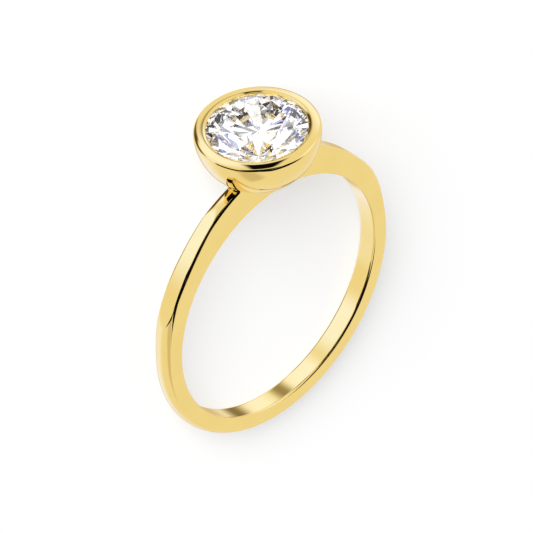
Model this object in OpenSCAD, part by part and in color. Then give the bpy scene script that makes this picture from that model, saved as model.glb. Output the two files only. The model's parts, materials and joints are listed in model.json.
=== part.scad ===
// A solitaire ring: one round brilliant rubbed over in a cup setting, on a low-domed shank
// with flat sides. Its shoulders rise to the setting and are filed flat across, and the filing runs
// out in a point on the dome.
// It lies on its side, as it comes to rest: the finger hole looks up, the stone points along -Y
// and a little upwards.
// Before it is laid down, the hole's axis is Z, its middle is the origin and the stone's axis is -Y.

/* [Finger hole] */
// Radius of the finger hole
hole_r = 8.25; // [8:0.05:8.4]
// Height of the straight wall in the hole, between its eased edges
hole_wall = 1.0; // [0.8:0.05:1.1]

/* [Shank] */
// Width of the shank
shank_w = 1.32; // [1.28:0.02:1.6]
// Height of the flat sides at the back
side_h = 1.0; // [0.9:0.02:1.1]
// Height of the dome above the flat sides
dome_h = 0.22; // [0.18:0.02:0.3]

/* [Shoulders] */
// Where the sides begin to rise, as degrees round the finger from the stone
rise_from = 82; // [80:1:86]
// Where the filing runs out on the dome, as degrees round the finger from the stone
filed_end = 69.5; // [68:0.5:71]
// Where the filing is as wide as the shank, as degrees round the finger from the stone
filed_full = 55; // [54:0.5:57]
// How far the sides have risen where the filing is as wide as the shank
rise_h = 0.43; // [0.4:0.01:0.46]
// Radius of the filing along the shoulder
filed_bend = 13; // [12.5:0.5:15]
// Width of the shank under the setting
head_w = 0.9; // [0.8:0.02:1.2]
// Height above the hole's middle from which the sides narrow
taper_from = 6; // [4:0.5:8]
// Height above the hole's middle at which they have narrowed
taper_to = 10.6; // [10.2:0.1:11]

/* [Setting] */
// Height of the rim's crest above the middle of the hole
crest_h = 13.4; // [13.2:0.1:14]
// Radius of the rim's crest
crest_r = 3.24; // [3.23:0.01:3.4]
// Radius of the setting where it is widest
rim_r = 3.84; // [3.8:0.02:4]
// Drop from the crest to the widest line
rim_drop = 0.28; // [0.24:0.02:0.5]
// Rounding of the rim's outer edge
rim_round = 0.2; // [0.1:0.02:0.3]
// Radius of the arc down the side of the cup
cup_arc = 3.6; // [3.5:0.05:3.7]
// Depth of the cup below its widest line
cup_depth = 3.4; // [3.2:0.05:3.45]
// Fall of the bright-cut bevel from the crest to the stone
bevel_drop = 0.08; // [0.04:0.02:0.16]

/* [Stone] */
// Radius of the stone's girdle
stone_r = 3.21; // [3.13:0.02:3.21]
// Width of the table, as a share of the girdle's
table_share = 0.57; // [0.53:0.01:0.62]
// Slope of the kite facets in degrees
crown_angle = 34.5; // [32:0.5:36]
// Slope of the pavilion's main facets in degrees
pavilion_angle = 40.8; // [40:0.2:42]
// Thickness of the girdle where the kites meet it
girdle_t = 0.16; // [0.14:0.02:0.24]
// Length of the lower half facets, as a share of the way down to the culet
lower_share = 0.77; // [0.7:0.01:0.85]
// Gap between the stone and its seat
seat_gap = 0.03; // [0.02:0.01:0.05]

/* [Hidden] */
$fn = 96;

// Shank: flat sides under a dome of one radius
half_w = shank_w / 2;
dome_r = (half_w * half_w + dome_h * dome_h) / (2 * dome_h);
side_r = hole_r + side_h;
ease_r = (shank_w - hole_wall) / 2;
blank_in = 5.6;
beyond = 30;

// Shoulders: the sides rise on a circle moved towards the stone. Across each shoulder goes one arc of the
// filing, from where it leaves the dome's crown to where it meets the sides, as points across the finger
// and towards the stone.
full_r = side_r + rise_h;
rise_shift = (pow(full_r, 2) - pow(side_r, 2)) / 2 / (full_r * cos(filed_full) - side_r * cos(rise_from));
rise_r = norm([side_r * cos(rise_from) - rise_shift, side_r * sin(rise_from)]);
end_r = dome_h + rise_shift * cos(filed_end) + sqrt(pow(rise_r, 2) - pow(rise_shift * sin(filed_end), 2));
end_point = end_r * [sin(filed_end), cos(filed_end)];
full_point = full_r * [sin(filed_full), cos(filed_full)];
cut = full_point - end_point;
cut_inwards = [-cut.y, cut.x] / norm(cut);
filed_mid = (end_point + full_point) / 2 + sqrt(pow(filed_bend, 2) - cut * cut / 4) * cut_inwards;

// Setting, as points of radius and height above the middle of the hole
wide_h = crest_h - rim_drop;
cup_mid = rim_r - cup_arc;
cup_low = -asin(cup_depth / cup_arc);
round_mid = rim_r - rim_round;
round_turn = 72;
bevel_r = stone_r - 0.16;
bevel_h = crest_h - bevel_drop;
arc_steps = 14;
round_steps = 4;

// Stone: the girdle's upper edge is set so that the upper halves just clear the bevel
sector = 360 / 8;
half_step = sector / 2;
rim_steps = 64;
rim_turn = 360 / rim_steps;
table_r = stone_r * table_share;
star_r = (table_r * cos(half_step) + stone_r) / 2;
star_rise = (stone_r - star_r * cos(half_step)) * tan(crown_angle);
lower_r = stone_r * (1 - lower_share);
lower_fall = (stone_r - lower_r * cos(half_step)) * tan(pavilion_angle);
girdle_h = bevel_h - seat_gap - star_rise * (stone_r - bevel_r) / (stone_r - star_r);
table_h = girdle_h + (stone_r - table_r) * tan(crown_angle);
keel_h = girdle_h - girdle_t;
culet_h = keel_h - stone_r * tan(pavilion_angle);

// Seat: a shelf under the lower halves, then a hollow down to below the culet
shelf_r = 2.5;
shelf_h = keel_h - seat_gap - lower_fall * (stone_r - shelf_r) / (stone_r - lower_r);
hollow_r = 2.2;
hollow_h = wide_h - 1.6;
hollow_low_r = 0.5;
hollow_low_h = culet_h - 0.1;

// Rest: the tilt at which one plane touches the side of the cup and the lower edge of the shank's back
reach = norm([side_r + wide_h, cup_mid - half_w]);
rest_tilt = atan2(cup_mid - half_w, side_r + wide_h) + asin(cup_arc / reach);
lift = side_r * sin(rest_tilt) + half_w * cos(rest_tilt);
front_reach = table_h * cos(rest_tilt) + table_r * sin(rest_tilt);
back_reach = (side_r + dome_h - dome_r) * cos(rest_tilt) + dome_r;
mid_y = (front_reach - back_reach) / 2;

// Turns the ring from its own axes to the way it lies, standing on Z = 0
module laid_down() {
    translate([0, mid_y, lift]) rotate([-rest_tilt, 0, 0]) children();
}

// Turns a shape made about +Z so that it stands on the stone's axis
module towards_stone() {
    rotate([90, 0, 0]) children();
}

function arc(middle, r, from, to, steps) =
    [for (i = [0:steps]) middle + r * [cos(from + (to - from) * i / steps), sin(from + (to - from) * i / steps)]];

// A flat-sided bar with a low dome, bent into a ring whose sides end at edge_r
module domed_ring(edge_r) {
    rotate_extrude() {
        translate([blank_in, -half_w]) square([edge_r - blank_in, shank_w]);
        intersection() {
            translate([edge_r + dome_h - dome_r, 0]) circle(dome_r);
            translate([edge_r, -half_w]) square([2 * dome_h, shank_w]);
        }
    }
}

// The even ring, and the one moved towards the stone that the shoulders rise on
module shank_blank() {
    domed_ring(side_r);
    translate([0, -rise_shift, 0]) domed_ring(rise_r);
}

// The room that the filing leaves: one arc on either shoulder, and everything at the back of the shank
module filed_room() {
    for (side = [0, 1]) mirror([side, 0, 0]) intersection() {
        translate([filed_mid.x, -filed_mid.y, 0]) cylinder(r = filed_bend, h = 2 * beyond, center = true, $fn = 180);
        translate([0, -beyond, -beyond]) cube(2 * beyond);
    }
    translate([-beyond, -end_point.y, -beyond]) cube(2 * beyond);
}

// The room between the sides, which narrows under the setting
module side_room() {
    half = [[-beyond, head_w / 2], [-taper_to, head_w / 2], [-taper_from, half_w + 0.01], [beyond, half_w + 0.01]];
    outline = concat(half, [for (i = [3:-1:0]) [half[i].x, -half[i].y]]);
    translate([-beyond, 0, 0]) rotate([90, 0, 90]) linear_extrude(2 * beyond) polygon(outline);
}

// The finger hole: a true cylinder with edges that are eased outwards
module finger_hole() {
    rotate_extrude() difference() {
        translate([0, -half_w]) square([hole_r + ease_r, shank_w]);
        for (side = [-1, 1]) translate([hole_r + ease_r, side * hole_wall / 2]) circle(ease_r);
        translate([hole_r, -hole_wall / 2]) square([2 * ease_r, hole_wall]);
    }
    cylinder(r = hole_r, h = 2 * beyond, center = true);
}

// The cup's outside, up over the rounded rim to the crest and in along the bevel
module cup_body() {
    outline = concat([[0, wide_h - cup_depth]],
        arc([cup_mid, wide_h], cup_arc, cup_low, 0, arc_steps),
        arc([round_mid, wide_h], rim_round, round_turn / round_steps, round_turn, round_steps - 1),
        [[crest_r, crest_h], [bevel_r, bevel_h], [0, bevel_h]]);
    rotate_extrude() polygon(outline);
}

// The room for the stone, which the bevelled lip closes over at the top
module seat_room() {
    outline = [[0, hollow_low_h], [hollow_low_r, hollow_low_h], [hollow_r, hollow_h], [shelf_r, shelf_h],
        [stone_r + seat_gap, keel_h - seat_gap], [stone_r + seat_gap, girdle_h + seat_gap],
        [bevel_r, bevel_h], [bevel_r, crest_h + 1], [0, crest_h + 1]];
    rotate_extrude() polygon(outline);
}

module ring_metal() {
    color([0.93, 0.76, 0.4]) laid_down() difference() {
        union() {
            intersection() {
                shank_blank();
                filed_room();
                side_room();
            }
            towards_stone() cup_body();
        }
        towards_stone() seat_room();
        finger_hole();
    }
}

function polar(r, angle, h) = [r * cos(angle), r * sin(angle), h];

// How far a half facet has fallen from its girdle corners at an angle between them
function dip(angle, tip_r, tip_rise) =
    tip_rise * stone_r / (stone_r - tip_r) * (1 - cos(angle % half_step - half_step / 2) / cos(half_step / 2));

// The round brilliant, from the table down: 8 stars, 8 kites, 16 upper halves, the girdle,
// 16 lower halves and 8 main facets, in eight like sectors
module brilliant() {
    sectors = [0:7];
    rim = [0:rim_steps - 1];
    points = concat(
        [for (k = sectors) polar(table_r, k * sector, table_h)],
        [for (k = sectors) polar(star_r, k * sector + half_step, girdle_h + star_rise)],
        [for (j = rim) polar(stone_r, j * rim_turn, girdle_h + dip(j * rim_turn, star_r, star_rise))],
        [for (j = rim) polar(stone_r, j * rim_turn, keel_h - dip(j * rim_turn, lower_r, lower_fall))],
        [for (k = sectors) polar(lower_r, k * sector + half_step, keel_h - lower_fall)],
        [[0, 0, culet_h]]);
    star = 8;
    top = 16;
    low = top + rim_steps;
    lower = low + rim_steps;
    culet = lower + 8;
    per_sector = rim_steps / 8;
    faces = concat(
        [[for (k = sectors) 7 - k]],
        [for (k = sectors) [k, (k + 1) % 8, star + k]],
        [for (k = sectors) [k, star + k, top + k * per_sector, star + (k + 7) % 8]],
        [for (j = rim) [star + floor(j / per_sector), top + (j + 1) % rim_steps, top + j]],
        [for (j = rim) [top + j, top + (j + 1) % rim_steps, low + (j + 1) % rim_steps, low + j]],
        [for (j = rim) [lower + floor(j / per_sector), low + j, low + (j + 1) % rim_steps]],
        [for (k = sectors) [low + k * per_sector, lower + k, culet, lower + (k + 7) % 8]]);
    polyhedron(points, faces);
}

module stone() {
    color([0.93, 0.95, 1, 0.6]) laid_down() towards_stone() brilliant();
}

ring_metal();
stone();
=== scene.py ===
# Solitaire ring: looks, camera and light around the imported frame
import json
import math

import bmesh
import bpy
import numpy as np
from mathutils import Matrix, Vector


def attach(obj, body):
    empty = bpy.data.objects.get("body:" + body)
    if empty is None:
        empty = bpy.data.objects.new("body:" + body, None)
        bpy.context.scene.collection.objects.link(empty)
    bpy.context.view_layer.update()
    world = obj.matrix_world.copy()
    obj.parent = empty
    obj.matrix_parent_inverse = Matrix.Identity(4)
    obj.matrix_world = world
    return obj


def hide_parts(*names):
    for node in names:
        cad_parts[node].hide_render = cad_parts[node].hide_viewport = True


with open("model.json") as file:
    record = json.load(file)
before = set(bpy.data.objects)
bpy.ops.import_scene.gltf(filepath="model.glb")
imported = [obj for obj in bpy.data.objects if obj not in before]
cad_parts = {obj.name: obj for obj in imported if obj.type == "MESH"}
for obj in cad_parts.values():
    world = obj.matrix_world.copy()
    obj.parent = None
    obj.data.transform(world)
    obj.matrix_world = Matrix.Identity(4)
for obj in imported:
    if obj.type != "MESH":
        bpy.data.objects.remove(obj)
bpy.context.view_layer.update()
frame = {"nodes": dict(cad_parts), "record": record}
print("frame loaded:", sorted(frame["nodes"]))

mm = 0.001  # sizes below are in millimetres, the scene in metres

# The hole's middle and axis come from the frame, so the ring lies as the CAD laid it
bore = frame["record"]["mounts"][0]
holeMiddle = np.array(bore["pos_m"])
holeAxis = np.array(bore["axis"]) / np.linalg.norm(bore["axis"])
acrossAxis = np.array([1.0, 0.0, 0.0])
stoneAxis = np.cross(acrossAxis, holeAxis)
if stoneAxis[1] > 0:
    stoneAxis = -stoneAxis

# Everything a user would change on the shank
shank = {
    "holeRadius": bore["dims"]["r_mm"],
    "wallHalf": 0.5,  # half of the straight wall inside the hole
    "halfWidth": 0.66,
    "sideHeight": 1.0,  # of the flat sides at the back
    "domeHeight": 0.22,
    "riseFrom": 82.0,  # where the sides begin to rise, in degrees round the finger from the stone
    "riseHeight": 0.43,  # and how far they have risen where the filing is as wide as the shank
    "riseSoftness": 0.08,  # of the bend where they begin to rise
    "filedEnd": 69.5,  # where the filing runs out on the dome, in degrees
    "filedFull": 55.0,  # where it is as wide as the shank
    "filedBend": 13.0,  # radius of the filing along the shoulder
    "filedLift": 2.0,  # past its end the filing is lifted clear by this much
    "filedLiftTurn": 0.14,  # over this turn in radians
    "taperFrom": 6.0,  # height above the hole's middle where the sides start to narrow
    "taperTo": 10.6,
    "taperClear": 0.01,  # the narrowing starts this far outside the sides
    "headHalfWidth": 0.45,
    "hiddenDrop": 1.15,  # inside the cup, where the shank stays clear of the hollow
    "hiddenTurns": (6, 9),  # degrees from the stone where that drop is whole, and where it ends
    "filedEdge": 0.36,  # rounding of the edges that were filed
    "domeEdge": 0.05,  # and of the edges between the sides and the dome
    "edgeTurns": (1.0, 1.25),  # radians from the stone over which one gives way to the other
    "seamRounding": 0.02,  # where the filing meets the dome, and the narrowed side the even one
    "steps": 384,  # round the finger
    "rays": 2881,  # tried in each section
    "ribs": 104,  # points kept round each section
}

# The cup, as radius from the stone's axis and height above the hole's middle
cup = {
    "crestHeight": 13.4,
    "crestRadius": 3.24,
    "rimRadius": 3.84,
    "rimDrop": 0.28,
    "rimRounding": 0.2,
    "rimTurn": 72,  # degrees that the rim's rounding turns through
    "bowlArc": 3.6,
    "bowlDepth": 3.4,
    "bevelRadius": 3.05,
    "bevelDrop": 0.08,
    "crestRounding": 0.03,
    "seat": ((3.24, 13.183), (3.24, 12.963), (2.5, 12.336), (2.2, 11.52), (0.5, 10.122)),
    "steps": 288,  # round the stone
    "dense": (400, 80, 60, 24),  # points on the bowl, rim, slope and crest before they are shared out
    "ribs": 110,  # points kept on the outside
}

# The solder in the corner between the cup and the shank
solder = {
    "reach": 0.26,
    "above": 9.2,  # height above the hole's middle that it stays over
    "fineness": 0.07,  # longest edge near the joint
    "rounds": 3,  # of splitting, and of moving
    "probe": 1e-3,  # step that the gradient is measured over
    "leastGradient": 0.2,  # squared, so that no point is thrown far out
}

turnWeight = 0.35  # mm of length that a radian of turning counts for, where points are shared out


# The middle plus across, towards the stone and along the hole times their axes: mm to metres of the frame
def toFrame(points):
    axes = np.stack([acrossAxis, stoneAxis, holeAxis])
    return holeMiddle + (np.asarray(points) @ axes) * mm


# The reverse of toFrame: each axis times the way from the middle
def fromFrame(points):
    axes = np.stack([acrossAxis, stoneAxis, holeAxis])
    return (np.asarray(points) - holeMiddle) @ axes.T / mm


# The lesser of two values, less a quarter of the softness times their closeness squared
def leastOf(a, b, softness):
    close = np.maximum(softness - np.abs(a - b), 0) / softness
    return np.minimum(a, b) - close * close * softness / 4


# The greater of two values, as the lesser of their opposites turned round
def greatestOf(a, b, softness):
    return -leastOf(-a, -b, softness)


# 0 before start, 1 past end and t^2 (3 - 2t) between them
def smoothStep(value, start, end):
    t = np.clip((value - start) / (end - start), 0, 1)
    return t * t * (3 - 2 * t)


# How far round from the stone, either way: half a turn less the distance from half a turn
def awayFromStone(turn):
    return np.pi - np.abs(np.pi - turn % (2 * np.pi))


# Radius at a turn from the stone of a circle whose middle lies off the hole's, across and towards the stone:
# the part of the middle along the turn, plus sqrt(radius^2 - (its part square to the turn)^2)
def circleAt(turn, across, towards, radius):
    along = across * np.sin(turn) + towards * np.cos(turn)
    square = across * np.cos(turn) - towards * np.sin(turn)
    return along + np.sqrt(radius ** 2 - square ** 2)


# Middle and radius of the circle that the sides rise on, which leaves the even side at one turn and is risen
# at the other, and of the filing's circle, which goes through the dome's crown and the risen side
def shoulderCircles(s):
    riseFrom, end, full = (math.radians(s[name]) for name in ("riseFrom", "filedEnd", "filedFull"))
    side = s["holeRadius"] + s["sideHeight"]
    risen = side + s["riseHeight"]
    shift = (risen ** 2 - side ** 2) / 2 / (risen * math.cos(full) - side * math.cos(riseFrom))
    rise = (0, shift, math.hypot(side * math.cos(riseFrom) - shift, side * math.sin(riseFrom)))
    crown = circleAt(end, *rise) + s["domeHeight"]
    first = crown * np.array([math.sin(end), math.cos(end)])
    last = risen * np.array([math.sin(full), math.cos(full)])
    cut = last - first
    inwards = np.array([-cut[1], cut[0]]) / np.linalg.norm(cut)
    middle = (first + last) / 2 + math.sqrt(s["filedBend"] ** 2 - cut @ cut / 4) * inwards
    return rise, (middle[0], middle[1], s["filedBend"])


# Radii of the sides' upper edge and of the flat filing at a turn from the stone. At the back the edge is an
# even circle and the filing is lifted clear.
def shoulderHeights(s, turn):
    away = awayFromStone(turn)
    rise, filing = shoulderCircles(s)
    edge = greatestOf(circleAt(away, *rise), s["holeRadius"] + s["sideHeight"], s["riseSoftness"])
    end = math.radians(s["filedEnd"])
    filed = circleAt(away, *filing) + s["filedLift"] * smoothStep(away, end, end + s["filedLiftTurn"])
    hidden = 1 - smoothStep(away, *np.radians(s["hiddenTurns"]))
    return edge, filed - s["hiddenDrop"] * hidden


# Radius of the point inside the section that its rays start from: halfway between the hole and the outside
def sectionMiddle(s, turn):
    edge, filed = shoulderHeights(s, turn)
    return (s["holeRadius"] + np.minimum(edge + s["domeHeight"], filed)) / 2


# Distance from the section's middle to its outline along a ray: the lesser of the distances to the dome,
# the filing, the flat side, the narrowed side, the eased edge and the wall of the hole, with rounded corners
def sectionReach(s, turn, ray):
    edge, filed = shoulderHeights(s, turn)
    middle = sectionMiddle(s, turn)
    out, side = np.cos(ray), np.sin(ray)
    steep = np.maximum(np.abs(side), 1e-9)  # kept off zero, as the other divisors below are
    far = 1e6

    def toCircle(centreOut, centreSide, radius):
        b = (middle - centreOut) * out - centreSide * side
        c = (middle - centreOut) ** 2 + centreSide ** 2 - radius ** 2
        return -b + np.sqrt(np.maximum(b * b - c, 0))

    flank = s["halfWidth"] / steep
    widest = s["halfWidth"] + s["taperClear"]
    slope = (widest - s["headHalfWidth"]) / (s["taperTo"] - s["taperFrom"])
    room = widest + slope * (s["taperFrom"] - middle * np.cos(turn))
    lean = steep + slope * out * np.cos(turn)
    narrowed = np.where(lean > 1e-6, room / np.maximum(lean, 1e-6), far)
    flat = leastOf(flank, narrowed, s["seamRounding"])

    domeRadius = (s["halfWidth"] ** 2 + s["domeHeight"] ** 2) / (2 * s["domeHeight"])
    domeMiddle = edge + s["domeHeight"] - domeRadius
    dome = toCircle(domeMiddle, 0, domeRadius)
    dome = np.where(middle + dome * out < domeMiddle, domeRadius / steep, dome)
    top = leastOf(dome, (filed - middle) / np.maximum(out, 1e-6), s["seamRounding"])
    onShoulder = 1 - smoothStep(awayFromStone(turn), *s["edgeTurns"])
    outer = leastOf(top, flat, s["domeEdge"] + (s["filedEdge"] - s["domeEdge"]) * onShoulder)
    outer = np.where(out > 0, outer, flat)

    ease = s["halfWidth"] - s["wallHalf"]
    corner = toCircle(s["holeRadius"] + ease, np.sign(side) * s["wallHalf"], ease)
    wall = (s["holeRadius"] - middle) / np.minimum(out, -1e-9)
    inCorner = (middle + flank * out < s["holeRadius"] + ease) & (out < 0)
    inner = np.where(inCorner, np.minimum(corner, flat), outer)
    inner = np.where((out < 0) & (wall * steep <= s["wallHalf"]), wall, inner)
    return inner


# Picks count points on a dense path so that length plus weight times turning is shared out evenly
def evenlyTurned(path, count, weight, closed=False):
    step = np.diff(path, axis=0)
    length = np.linalg.norm(step, axis=1)
    heading = np.unwrap(np.arctan2(step[:, 1], step[:, 0]))
    turning = np.abs(np.diff(heading, prepend=heading[0]))
    travelled = np.concatenate([[0], np.cumsum(length + weight * turning)])
    wanted = np.linspace(0, travelled[-1], count, endpoint=not closed)
    return np.stack([np.interp(wanted, travelled, path[:, k]) for k in (0, 1)], axis=-1)


# The shank as a grid of sections: every ray of every section at once, then each outline shared out by turning
def shankGrid(s):
    turn = np.linspace(0, 2 * np.pi, s["steps"], endpoint=False)[:, None]
    rays = np.linspace(0, 2 * np.pi, s["rays"])[None, :]
    reach = sectionReach(s, turn, rays)
    middle = sectionMiddle(s, turn)
    outlines = np.stack([middle + reach * np.cos(rays), reach * np.sin(rays)], axis=-1)
    rings = np.array([evenlyTurned(outline, s["ribs"], turnWeight, closed=True) for outline in outlines])
    radius, width = rings[..., 0], rings[..., 1]
    return np.stack([radius * np.sin(turn), radius * np.cos(turn), width], axis=-1)


# How far a point lies outside the shank: its distance from the section's middle less the outline's
def shankDepth(s, points):
    across, towards, along = points.T
    turn = np.arctan2(across, towards)
    middle = sectionMiddle(s, turn)
    off = np.hypot(across, towards) - middle
    return np.hypot(off, along) - sectionReach(s, turn, np.arctan2(along, off))


# Points on a circle from one angle in degrees to another: the centre plus radius times cosine and sine
def arc(centre, radius, start, end, count):
    a = np.radians(np.linspace(start, end, count))
    return np.stack([centre[0] + radius * np.cos(a), centre[1] + radius * np.sin(a)], axis=-1)


# A corner between two straight runs, replaced by the arc of that radius which touches both. Its middle lies on
# the bisector, radius / sin(half the corner's angle) away.
def rounded(corner, before, after, radius, count):
    corner, before, after = (np.array(v, float) for v in (corner, before, after))
    a, b = before - corner, after - corner
    a, b = a / np.linalg.norm(a), b / np.linalg.norm(b)
    half = math.acos(np.clip(a @ b, -1, 1)) / 2
    middle = corner + (a + b) / np.linalg.norm(a + b) * radius / math.sin(half)
    first, last = (corner + v * radius / math.tan(half) - middle for v in (a, b))
    t = np.linspace(0, 1, count)[:, None]
    sweep = math.pi - 2 * half
    return middle + (np.sin((1 - t) * sweep) * first + np.sin(t * sweep) * last) / math.sin(sweep)


# The arc that leaves start along a heading in degrees and ends at end: chords that turn evenly from the heading
# to the whole chord, each as long as the sine of its turn asks
def touchingArc(start, heading, end, count):
    start, end = np.array(start), np.array(end)
    chord = end - start
    turned = math.atan2(chord[1], chord[0]) - math.radians(heading)
    t = np.linspace(0, 1, count)[:, None]
    along = math.radians(heading) + turned * t
    share = np.sin(turned * t) / math.sin(turned)
    return start + share * np.linalg.norm(chord) * np.concatenate([np.cos(along), np.sin(along)], axis=1)


# The outline of the cup from its flat bottom up the bowl's arc, over the rounded rim, up the slightly full
# slope to the crest and down the bright-cut bevel to the stone
def cupOutside(c):
    onBowl, onRim, onSlope, onCrest = c["dense"]
    wide = c["crestHeight"] - c["rimDrop"]
    low = -math.degrees(math.asin(c["bowlDepth"] / c["bowlArc"]))
    bowl = arc((c["rimRadius"] - c["bowlArc"], wide), c["bowlArc"], low, 0, onBowl)
    rim = arc((c["rimRadius"] - c["rimRounding"], wide), c["rimRounding"], 0, c["rimTurn"], onRim)[1:]
    crest = (c["crestRadius"], c["crestHeight"])
    slope = touchingArc(rim[-1], c["rimTurn"] + 90, crest, onSlope)[1:]
    slope, before = slope[:-4], slope[-4]  # the crest's rounding takes the place of the last points
    bevel = (c["bevelRadius"], c["crestHeight"] - c["bevelDrop"])
    top = rounded(crest, before, bevel, c["crestRounding"], onCrest)
    return np.concatenate([[[0, bowl[0][1]]], bowl, rim, slope, top, [bevel]])


# The outside, then the seat: down past the girdle, over the shelf and down the hollow to the axis
def cupOutline(c):
    inside = np.array([*c["seat"], (0, c["seat"][-1][1])])
    return np.concatenate([evenlyTurned(cupOutside(c), c["ribs"], turnWeight), inside])


# How far a point lies outside the cup's bowl and its flat bottom, the only parts that meet the shank
def cupDepth(c, points):
    across, towards, along = points.T
    wide = c["crestHeight"] - c["rimDrop"]
    bowl = np.hypot(np.hypot(across, along) - (c["rimRadius"] - c["bowlArc"]), towards - wide) - c["bowlArc"]
    return np.maximum(bowl, wide - c["bowlDepth"] - towards)


# Each outline point (radius, height) is carried round the stone's axis
def revolved(outline, steps):
    a = np.linspace(0, 2 * np.pi, steps, endpoint=False)[:, None]
    r, h = outline[None, :, 0], outline[None, :, 1]
    return np.stack([r * np.cos(a), h + 0 * a, r * np.sin(a)], axis=-1)


# A closed mesh from a grid of points whose rows join end to end, and its columns too if closedAcross
def gridMesh(name, grid, closedAcross):
    rows, columns = grid.shape[:2]
    number = np.arange(rows * columns).reshape(rows, columns)
    nextRow = np.roll(number, -1, axis=0)
    if closedAcross:
        right, rightNext = np.roll(number, -1, axis=1), np.roll(nextRow, -1, axis=1)
    else:
        right, rightNext = number[:, 1:], nextRow[:, 1:]
        number, nextRow = number[:, :-1], nextRow[:, :-1]
    quads = np.stack([number, right, rightNext, nextRow], axis=-1).reshape(-1, 4)
    mesh = bpy.data.meshes.new(name)
    mesh.from_pydata(toFrame(grid.reshape(-1, 3)).tolist(), [], quads.tolist())
    mesh.validate()
    return mesh


# Merges doubled points at poles and seams, drops what collapsed and turns the faces outwards
def tidied(mesh, merge=1e-7):
    work = bmesh.new()
    work.from_mesh(mesh)
    bmesh.ops.remove_doubles(work, verts=work.verts, dist=merge)
    bmesh.ops.dissolve_degenerate(work, edges=work.edges, dist=merge)
    bmesh.ops.recalc_face_normals(work, faces=work.faces)
    work.to_mesh(mesh)
    work.free()
    return mesh


# An object at the origin, in the scene
def newObject(name, data):
    made = bpy.data.objects.new(name, data)
    bpy.context.scene.collection.objects.link(made)
    return made


# One closed solid from two that overlap
def joined(name, first, second):
    a, b = newObject(name, first), newObject(name + "_part", second)
    union = a.modifiers.new("union", "BOOLEAN")
    union.operation = "UNION"
    union.solver = "EXACT"
    union.object = b
    graph = bpy.context.evaluated_depsgraph_get()
    mesh = bpy.data.meshes.new_from_object(a.evaluated_get(graph))
    a.modifiers.clear()
    a.data = mesh
    bpy.data.objects.remove(b)
    return a


# A mesh's points, in mm from the hole's middle
def meshPoints(mesh):
    flat = np.empty(len(mesh.vertices) * 3)
    mesh.vertices.foreach_get("co", flat)
    return fromFrame(flat.reshape(-1, 3))


# Which points lie within the solder's reach of the shank and of the cup, and above the finger
def nearJoint(points):
    close = np.abs(shankDepth(shank, points)) < solder["reach"]
    close &= np.abs(cupDepth(cup, points)) < solder["reach"]
    return close & (points[:, 1] > solder["above"])


# How far a point lies outside the two together, with the corner between them filled: the softened lesser of
# its two depths
def solderedDepth(points):
    return leastOf(shankDepth(shank, points), cupDepth(cup, points), solder["reach"])


# Halves the edges near the joint that are longer than the fineness, a few times over
def splitNearJoint(mesh):
    for _ in range(solder["rounds"]):
        points = meshPoints(mesh)
        ends = np.empty(len(mesh.edges) * 2, np.int32)
        mesh.edges.foreach_get("vertices", ends)
        ends = ends.reshape(-1, 2)
        length = np.linalg.norm(points[ends[:, 0]] - points[ends[:, 1]], axis=1)
        chosen = np.flatnonzero(nearJoint(points)[ends].any(axis=1) & (length > solder["fineness"]))
        work = bmesh.new()
        work.from_mesh(mesh)
        work.edges.ensure_lookup_table()
        bmesh.ops.subdivide_edges(work, edges=[work.edges[k] for k in chosen], cuts=1, use_grid_fill=True)
        bmesh.ops.triangulate(work, faces=[f for f in work.faces if len(f.verts) > 4])
        work.to_mesh(mesh)
        work.free()


# Moves the points near the joint out onto the filled corner: a few times over, each goes along the depth's
# gradient by the depth over the gradient's length
def fillCorner(mesh):
    points = meshPoints(mesh)
    near = np.flatnonzero(nearJoint(points))
    moved = points[near]
    probe = solder["probe"]
    for _ in range(solder["rounds"]):
        change = [solderedDepth(moved + step) - solderedDepth(moved - step) for step in np.eye(3) * probe]
        gradient = np.stack(change, axis=1) / (2 * probe)
        size = np.maximum((gradient ** 2).sum(axis=1), solder["leastGradient"])
        moved = moved - gradient * (np.minimum(solderedDepth(moved), 0) / size)[:, None]
    points[near] = moved
    mesh.vertices.foreach_set("co", toFrame(points).astype(np.float32).ravel())
    mesh.update()
    print("points moved into the solder:", len(near))


shankMesh = tidied(gridMesh("shank", shankGrid(shank), True))
cupMesh = tidied(gridMesh("cup", revolved(cupOutline(cup), cup["steps"]), False))
print("shank faces", len(shankMesh.polygons), "cup faces", len(cupMesh.polygons))
gold = joined("ring_gold", shankMesh, cupMesh)
splitNearJoint(gold.data)
fillCorner(gold.data)
gold.data.polygons.foreach_set("use_smooth", [True] * len(gold.data.polygons))
print("gold faces", len(gold.data.polygons), "points", len(gold.data.vertices))

# The seat under the stone is marked on the mesh, because it is painted pale and given a painted glow in place
# of the light that the stone gathers there
seat = {
    "radius": 3.235,
    "heights": (10.1, 13.31),
    "inside": 0.08,  # least depth under the bowl's outside
}
inGold = meshPoints(gold.data)
seatLow, seatHigh = seat["heights"]
inSeat = (inGold[:, 1] > seatLow) & (inGold[:, 1] < seatHigh) & (cupDepth(cup, inGold) < -seat["inside"])
inSeat &= np.hypot(inGold[:, 0], inGold[:, 2]) < seat["radius"]
seatMark = gold.data.attributes.new("seat", "FLOAT", "POINT")
seatMark.data.foreach_set("value", inSeat.astype(np.float32))
print("seat points", int(inSeat.sum()))


# A node with its own settings, given by name
def addNode(tree, kind, **values):
    node = tree.nodes.new(kind)
    for key, value in values.items():
        setattr(node, key, value)
    return node


# Sets or links one input socket
def feed(tree, socket, value):
    if hasattr(value, "is_output"):
        tree.links.new(value, socket)
    else:
        socket.default_value = value


# One operation on one or two values
def maths(tree, operation, a, b=None):
    node = addNode(tree, "ShaderNodeMath", operation=operation)
    feed(tree, node.inputs[0], a)
    if b is not None:
        feed(tree, node.inputs[1], b)
    return node.outputs[0]


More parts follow.
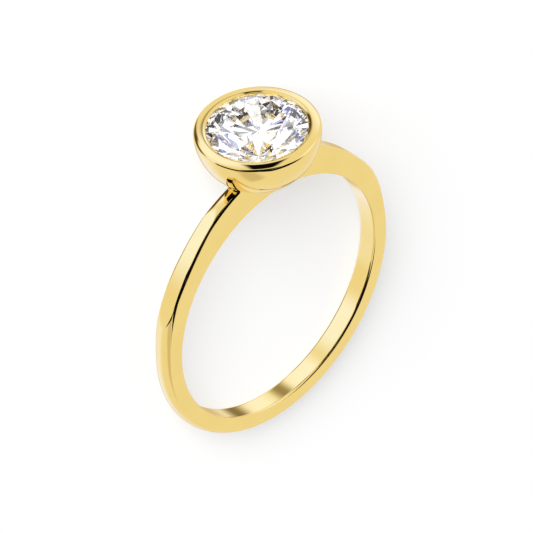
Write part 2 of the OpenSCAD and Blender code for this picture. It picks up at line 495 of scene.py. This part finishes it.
# First colour times (1 - factor) plus second times factor, through the Mix node's colour sockets
def mixed(tree, factor, first, second):
    node = addNode(tree, "ShaderNodeMix", data_type="RGBA")
    feed(tree, node.inputs["Factor"], factor)
    feed(tree, node.inputs[6], first)
    feed(tree, node.inputs[7], second)
    return node.outputs[2]


# The value's place between low and high, smoothed at both ends, carried over to between toLow and toHigh
def ranged(tree, value, low, high, toLow, toHigh):
    node = addNode(tree, "ShaderNodeMapRange", interpolation_type="SMOOTHSTEP")
    feed(tree, node.inputs["Value"], value)
    for name, number in (("From Min", low), ("From Max", high), ("To Min", toLow), ("To Max", toHigh)):
        feed(tree, node.inputs[name], number)
    return node.outputs["Result"]


# A node group with named sockets, given as (name, kind) pairs
def newGroup(name, inputs, outputs):
    group = bpy.data.node_groups.new(name, "ShaderNodeTree")
    for way, sockets in (("INPUT", inputs), ("OUTPUT", outputs)):
        for socket, kind in sockets:
            group.interface.new_socket(socket, in_out=way, socket_type="NodeSocket" + kind)
    return group, group.nodes.new("NodeGroupInput"), group.nodes.new("NodeGroupOutput")


# A group placed in a tree, with its inputs given by name
def placed(tree, group, inputs, label=""):
    node = addNode(tree, "ShaderNodeGroup", node_tree=group, label=label)
    for name, value in inputs.items():
        feed(tree, node.inputs[name], value)
    return node


# A grey as a colour: the level three times, and 1
def grey(level):
    return (level, level, level, 1)


# Random values of the small cells that space is divided into, by channel
def cellValues(tree, vector, scale):
    cells = addNode(tree, "ShaderNodeTexVoronoi")
    feed(tree, cells.inputs["Vector"], vector)
    feed(tree, cells.inputs["Scale"], scale)
    parts = addNode(tree, "ShaderNodeSeparateColor")
    feed(tree, parts.inputs["Color"], cells.outputs["Color"])
    return parts.outputs


# 1 where the value is above low and below high, 0 elsewhere
def between(tree, value, low, high):
    above = maths(tree, "GREATER_THAN", value, low)
    return maths(tree, "MULTIPLY", above, maths(tree, "LESS_THAN", value, high))


polish = {
    "colour": (0.94, 0.71, 0.25, 1),
    "deepColour": (0.925, 0.69, 0.232, 1),
    "smooth": 0.02,  # roughness where the wheel left nothing
    "dull": 0.045,  # and along its hairlines
    "clouds": (420, 3),  # scale and detail of the three noises
    "hairs": (2600, 4),
    "waves": (330, 1),
    "cloudRange": (0.35, 0.7),  # of the noise, from the first colour to the deep one
    "hairRange": (0.45, 0.75),  # and from smooth to dull
    "hairStretch": (1, 1, 7),
    "waveHeight": 2.0e-6,  # metres
    # The seat's painted light: pale in place of the gold's own colour, and a painted glow broken into cells
    "seatPaintedPale": (0.9, 0.9, 0.92, 1),
    "seatPaintedGlow": (0.62, 0.62, 0.64, 1),  # glow of the seat, in place of the light caught under the stone
    "seatCells": 1100,
}


# Faint marks that a polishing wheel leaves: slow clouds in the colour, fine hairlines in the roughness
# and a very low waviness
def polishGroup(p):
    inputs = (("Vector", "Vector"), ("Colour", "Color"), ("Deep colour", "Color"), ("Smooth", "Float"),
              ("Dull", "Float"))
    outputs = (("Colour", "Color"), ("Roughness", "Float"), ("Height", "Float"))
    group, given, result = newGroup("hand polish", inputs, outputs)
    stretch = addNode(group, "ShaderNodeMapping")
    feed(group, stretch.inputs["Vector"], given.outputs["Vector"])
    stretch.inputs["Scale"].default_value = p["hairStretch"]

    def noise(vector, scale, detail):
        node = addNode(group, "ShaderNodeTexNoise")
        feed(group, node.inputs["Vector"], vector)
        node.inputs["Scale"].default_value = scale
        node.inputs["Detail"].default_value = detail
        return node.outputs["Fac"]

    cloud = ranged(group, noise(given.outputs["Vector"], *p["clouds"]), *p["cloudRange"], 0.0, 1.0)
    colour = mixed(group, cloud, given.outputs["Colour"], given.outputs["Deep colour"])
    feed(group, result.inputs["Colour"], colour)
    hairs = noise(stretch.outputs["Vector"], *p["hairs"])
    roughness = ranged(group, hairs, *p["hairRange"], given.outputs["Smooth"], given.outputs["Dull"])
    feed(group, result.inputs["Roughness"], roughness)
    feed(group, result.inputs["Height"], noise(given.outputs["Vector"], *p["waves"]))
    return group


# Light broken up as a cut stone breaks it: channel, lowest, highest and colour of the cells that differ
brokenLight = (
    ("Red", -1, 0.15, (0.03, 0.03, 0.032, 1)),
    ("Red", 0.15, 0.3, (0.42, 0.42, 0.43, 1)),
    ("Green", -1, 0.015, (0.7, 0.65, 1.15, 1)),
    ("Green", 0.3, 0.306, (0.7, 0.95, 1.1, 1)),
    ("Green", 0.6, 0.612, (1.15, 0.8, 0.5, 1)),
)


# The light in most cells, and black, grey or a tint in those that the list picks out
def brokenGroup(listed):
    inputs = (("Vector", "Vector"), ("Scale", "Float"), ("Light", "Color"))
    group, given, result = newGroup("broken light", inputs, (("Colour", "Color"),))
    chance = cellValues(group, given.outputs["Vector"], given.outputs["Scale"])
    colour = given.outputs["Light"]
    for channel, low, high, shade in listed:
        colour = mixed(group, between(group, chance[channel], low, high), colour, shade)
    feed(group, result.inputs["Colour"], colour)
    return group


# Polished gold, apart from the seat, which the mark on the mesh paints pale and gives a painted glow in place
# of the light caught under the stone
def goldMaterial(p, broken):
    look = bpy.data.materials.new("polished yellow gold")
    look.use_nodes = True
    tree = look.node_tree
    shader = tree.nodes["Principled BSDF"]
    place = addNode(tree, "ShaderNodeTexCoord").outputs["Object"]
    worn = placed(tree, polishGroup(p), {
        "Vector": place,
        "Colour": p["colour"],
        "Deep colour": p["deepColour"],
        "Smooth": p["smooth"],
        "Dull": p["dull"],
    })
    # The seat's painted glow: bright, grey and black cells, as a cut stone breaks light
    glow = placed(tree, broken, {"Vector": place, "Scale": p["seatCells"], "Light": p["seatPaintedGlow"]})
    mark = addNode(tree, "ShaderNodeAttribute", attribute_name="seat").outputs["Fac"]
    feed(tree, shader.inputs["Base Color"], mixed(tree, mark, worn.outputs["Colour"], p["seatPaintedPale"]))
    feed(tree, shader.inputs["Emission Color"], mixed(tree, mark, grey(0), glow.outputs["Colour"]))
    feed(tree, shader.inputs["Roughness"], worn.outputs["Roughness"])
    bump = addNode(tree, "ShaderNodeBump")
    bump.inputs["Distance"].default_value = p["waveHeight"]
    feed(tree, bump.inputs["Height"], worn.outputs["Height"])
    feed(tree, shader.inputs["Normal"], bump.outputs["Normal"])
    shader.inputs["Emission Strength"].default_value = 1
    shader.inputs["Metallic"].default_value = 1
    return look


# The stone's fire is painted: tints in small cells of its colour stand in for the colours of its dispersed
# light
brilliant = {
    "index": 2.42,
    "fire": 0.15,  # strength of the tints
    "fireCells": 1500,
    "tints": (  # lowest, highest and colour of the cells that are tinted
        (0.0, 0.16, (0.55, 0.5, 1, 1)),
        (0.3, 0.4, (0.55, 0.85, 1, 1)),
        (0.6, 0.66, (1, 0.72, 0.45, 1)),
    ),
}


# White, with painted tints that stand in for the stone's fire, its dispersed coloured light, laid over a few
# small cells as strongly as the amount says
def fireGroup(b):
    inputs = (("Vector", "Vector"), ("Scale", "Float"), ("Amount", "Float"))
    group, given, result = newGroup("stone fire", inputs, (("Colour", "Color"),))
    chance = cellValues(group, given.outputs["Vector"], given.outputs["Scale"])["Red"]
    colour = grey(1)
    for low, high, tint in b["tints"]:
        amount = maths(group, "MULTIPLY", between(group, chance, low, high), given.outputs["Amount"])
        colour = mixed(group, amount, colour, tint)
    feed(group, result.inputs["Colour"], colour)
    return group


# Clear and smooth, with the stone's own bending of light and painted fire tints in its colour
def stoneMaterial(b):
    look = bpy.data.materials.new("cut stone")
    look.use_nodes = True
    tree = look.node_tree
    shader = tree.nodes["Principled BSDF"]
    place = addNode(tree, "ShaderNodeTexCoord").outputs["Object"]
    fire = placed(tree, fireGroup(b), {"Vector": place, "Scale": b["fireCells"], "Amount": b["fire"]})
    feed(tree, shader.inputs["Base Color"], fire.outputs["Colour"])
    shader.inputs["Roughness"].default_value = 0.0
    shader.inputs["IOR"].default_value = b["index"]
    shader.inputs["Transmission Weight"].default_value = 1
    return look


broken = brokenGroup(brokenLight)
gold.data.materials.clear()
gold.data.materials.append(goldMaterial(polish, broken))
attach(gold, "root")
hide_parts("ring_metal")

stone = frame["nodes"]["stone"]
stoneLook = stoneMaterial(brilliant)
for held in stone.material_slots:
    held.material = stoneLook
print("materials made")

# Camera, at the photo's angle to the ring, which here lies down
view = {
    "turn": -41.55,  # degrees round the worn ring's upright axis
    "rise": 42.4,
    "roll": -5.36,
    "distance": 371,
    "pixelsPerMm": 16.45,  # at the hole's middle
    "middlePixel": (272.5, 292.0),
    "frameWidth": 533,
    "sensorWidth": 36,
    "clip": (0.01, 5),  # nearest and farthest, in metres
}


# The eye is the hole's middle plus the distance against the look, moved sideways and down so that the middle
# falls on its pixel. The lens is pixels per mm times the distance times the sensor's width per pixel.
def placeCamera(v):
    turn, rise, roll = (math.radians(v[name]) for name in ("turn", "rise", "roll"))
    worn = np.stack([-acrossAxis, -holeAxis, stoneAxis])
    back = np.array([math.sin(turn) * math.cos(rise), -math.cos(turn) * math.cos(rise), math.sin(rise)]) @ worn
    level = np.cross(-back, stoneAxis)
    level /= np.linalg.norm(level)
    upright = np.cross(level, -back)
    right = level * math.cos(roll) + upright * math.sin(roll)
    up = np.cross(back, right)
    half = v["frameWidth"] / 2
    offRight = (v["middlePixel"][0] - half) / v["pixelsPerMm"]
    offUp = (half - v["middlePixel"][1]) / v["pixelsPerMm"]
    eye = holeMiddle + (back * v["distance"] - right * offRight - up * offUp) * mm
    data = bpy.data.cameras.new("camera")
    data.sensor_width = v["sensorWidth"]
    data.lens = v["pixelsPerMm"] * v["distance"] * v["sensorWidth"] / v["frameWidth"]
    data.clip_start, data.clip_end = v["clip"]
    camera = newObject("camera", data)
    turned = Matrix((right, up, back)).transposed().to_4x4()
    turned.translation = Vector(eye)
    camera.matrix_world = turned
    bpy.context.scene.camera = camera
    print("camera at", [round(float(x), 4) for x in eye], "lens", round(data.lens, 1))


placeCamera(view)

# The floor glows, so that it stays pale and the ring's shadow stays faint
ground = {
    "half": 2.0,  # metres
    "shade": 0.41,
    "glow": 0.6,
    "roughness": 0.8,
}


# A square of twice the half width. The ring doesn't mirror it, because the cards are below it too.
def makeFloor(g):
    corners = [(x * g["half"], y * g["half"], 0) for x, y in ((-1, -1), (1, -1), (1, 1), (-1, 1))]
    mesh = bpy.data.meshes.new("floor")
    mesh.from_pydata(corners, [], [(0, 1, 2, 3)])
    floor = newObject("floor", mesh)
    look = bpy.data.materials.new("pale floor")
    look.use_nodes = True
    shader = look.node_tree.nodes["Principled BSDF"]
    shader.inputs["Base Color"].default_value = grey(g["shade"])
    shader.inputs["Roughness"].default_value = g["roughness"]
    shader.inputs["Specular IOR Level"].default_value = 0
    shader.inputs["Emission Color"].default_value = grey(1)
    shader.inputs["Emission Strength"].default_value = g["glow"]
    mesh.materials.append(look)
    floor.visible_glossy = False
    floor.visible_transmission = False


makeFloor(ground)

# Studio: a white tent with a few black and bright cards, given as azimuth and elevation in degrees.
# Azimuth 0 looks the way the stone does, 90 to +X.
tent = {
    "level": 0.93,  # of the tent in the gold
    "backdrop": 1.0,  # what the camera sees past the floor
    "floorLight": 0.28,  # even light on the floor, besides the sun
    "stoneLight": 1.35,  # what the stone shows through its facets
    "stoneCells": 10,  # how finely that light is broken up
    "sunAzimuth": 36,  # a soft sun that only the floor shows, for the shadow
    "sunElevation": 22,
    "sunWidth": 40,
    "sunStrength": 6.1,
}
black = (0.004, 0.004, 0.004)
cards = [
    # name, azimuth, elevation, half width, half height, lean, softness, colour
    ("edge shade", -136, -42, 20, 20, 0, 0.16, (0.72, 0.6, 0.36)),
    ("side shade", 128, 12, 30, 12, 0, 0.12, (0.7, 0.66, 0.62)),
    ("side reflector", 140, -52, 34, 14, 0, 0.2, (1.0, 1.1, 1.6)),
    ("left reflector", 40, -28, 20, 12, 0, 0.2, (1.06, 1.25, 2.2)),
    ("low reflector", -10, -27, 14, 13, 0, 0.14, (1.1, 1.25, 2.1)),
    ("right reflector", -55, 32, 14, 18, 0, 0.2, (1.1, 1.25, 1.9)),
    ("wall reflector", -58, -22, 12, 14, 0, 0.15, (1.1, 1.25, 2.0)),
    ("wall shade", -86, -32, 8, 12, 0, 0.12, (0.28, 0.24, 0.18)),
    ("table flag", -33, -30, 5.5, 9, 0, 0.08, (0.36, 0.33, 0.3)),
    ("floor flag", 20, -60, 28, 14, 0, 0.06, (0.1, 0.07, 0.04)),
    ("front flag", -12.5, -4.3, 14, 6.5, 47, 0.03, black),
    ("camera flag", 38, 36, 26, 22, 0, 0.04, black),
    ("left flag", 79, 10, 21, 36, 0, 0.04, black),
    ("zenith flag", 120, 80, 30, 34, 0, 0.04, black),
]


# Mask of a rectangular card seen in a direction: the direction is turned to the card's own axes, divided by its
# depth, and both sides are faded over the softness
def cardGroup(leastDepth=0.01):
    inputs = (("Direction", "Vector"), ("Middle", "Vector"), ("Sideways", "Vector"), ("Upwards", "Vector"),
              ("Half width", "Float"), ("Half height", "Float"), ("Softness", "Float"))
    group, given, result = newGroup("studio card", inputs, (("Mask", "Float"),))

    def dot(name):
        node = addNode(group, "ShaderNodeVectorMath", operation="DOT_PRODUCT")
        feed(group, node.inputs[0], given.outputs["Direction"])
        feed(group, node.inputs[1], given.outputs[name])
        return node.outputs["Value"]

    depth = dot("Middle")
    mask = maths(group, "GREATER_THAN", depth, leastDepth)
    depth = maths(group, "MAXIMUM", depth, leastDepth)
    soft = given.outputs["Softness"]
    for axis, half in (("Sideways", "Half width"), ("Upwards", "Half height")):
        off = maths(group, "ABSOLUTE", maths(group, "DIVIDE", dot(axis), depth))
        near = maths(group, "SUBTRACT", given.outputs[half], soft)
        far = maths(group, "ADD", given.outputs[half], soft)
        mask = maths(group, "MULTIPLY", mask, ranged(group, off, near, far, 1.0, 0.0))
    feed(group, result.inputs["Mask"], mask)
    return group


# The direction (sin a cos e, -cos a cos e, sin e) of an azimuth a and an elevation e
def lookingTo(azimuth, elevation):
    a, e = math.radians(azimuth), math.radians(elevation)
    return np.array([math.sin(a) * math.cos(e), -math.cos(a) * math.cos(e), math.sin(e)])


# A colour with each card laid over it in turn. A card's level side is turned about its middle by the lean.
def withCards(tree, direction, colour, listed):
    group = cardGroup()
    for name, azimuth, elevation, halfWidth, halfHeight, lean, softness, shade in listed:
        middle, level, turn = lookingTo(azimuth, elevation), lookingTo(azimuth + 90, 0), math.radians(lean)
        sideways = level * math.cos(turn) + np.cross(middle, level) * math.sin(turn)
        card = placed(tree, group, {
            "Direction": direction,
            "Middle": middle,
            "Sideways": sideways,
            "Upwards": np.cross(middle, sideways),
            "Half width": math.tan(math.radians(halfWidth)),
            "Half height": math.tan(math.radians(halfHeight)),
            "Softness": softness,
        }, name)
        colour = mixed(tree, card.outputs["Mask"], colour, (*shade, 1))
    return colour


# Mirrored rays see the cards, the stone's rays a bright room in small patches, the camera the plain backdrop,
# and the floor gets a dim even light
def makeStudio(t, listed, broken):
    world = bpy.data.worlds.new("studio")
    world.use_nodes = True
    tree = world.node_tree
    direction = addNode(tree, "ShaderNodeTexCoord").outputs["Generated"]
    path = addNode(tree, "ShaderNodeLightPath").outputs
    colour = mixed(tree, path["Is Camera Ray"], grey(t["floorLight"]), grey(t["backdrop"]))
    mirrored = withCards(tree, direction, grey(t["level"]), listed)
    colour = mixed(tree, path["Is Glossy Ray"], colour, mirrored)
    room = placed(tree, broken, {"Vector": direction, "Scale": t["stoneCells"], "Light": grey(t["stoneLight"])})
    colour = mixed(tree, path["Is Transmission Ray"], colour, room.outputs["Colour"])
    feed(tree, tree.nodes["Background"].inputs["Color"], colour)
    bpy.context.scene.world = world


# A wide sun, turned so that its back points to where it stands, which the gold and the stone don't show
def makeSun(t):
    data = bpy.data.lights.new("floor sun", "SUN")
    data.energy = t["sunStrength"]
    data.angle = math.radians(t["sunWidth"])
    sun = newObject("floor sun", data)
    stands = Vector(lookingTo(t["sunAzimuth"], t["sunElevation"]))
    sun.rotation_euler = stands.to_track_quat("Z", "Y").to_euler()
    sun.visible_glossy = False
    sun.visible_transmission = False


makeStudio(tent, cards, broken)
makeSun(tent)

bounces = {"max_bounces": 16, "glossy_bounces": 10, "transmission_bounces": 16}
for name, count in bounces.items():
    setattr(bpy.context.scene.cycles, name, count)
bpy.context.scene.view_settings.view_transform = "Standard"
print("studio made")
